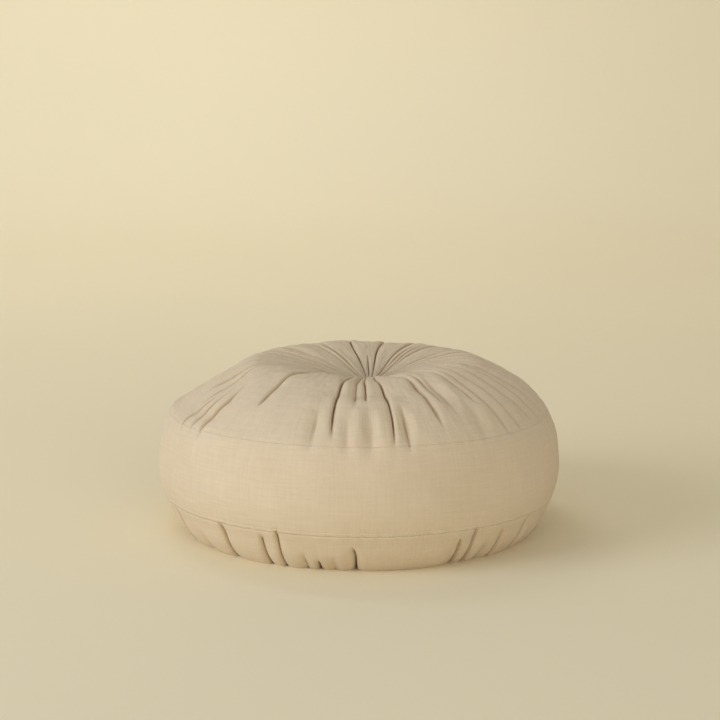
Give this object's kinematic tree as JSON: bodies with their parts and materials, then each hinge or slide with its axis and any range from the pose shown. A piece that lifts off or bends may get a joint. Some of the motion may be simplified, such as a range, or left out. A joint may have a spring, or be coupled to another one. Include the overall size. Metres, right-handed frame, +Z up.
{
  "type": "round tufted cushion",
  "caption": "Round filled floor cushion with a plain side band between two gathered panels, each drawn in to a dimple at its middle.",
  "frame": {"origin": "on the floor, under the middle of the cushion's bounding box", "axes": "+Z up through the tuft, -Y to the side that faces the camera in the picture, +X to the picture's right"},
  "size_m": [0.3999, 0.4001, 0.1759],
  "materials": {
    "gathered_body": "matte, fine plain-woven natural cotton",
    "side_band": "matte, fine plain-woven natural cotton"
  },
  "bodies": {
    "root": {"gathered_body": "gathered_body", "side_band": "side_band"}
  },
  "joints": []
}
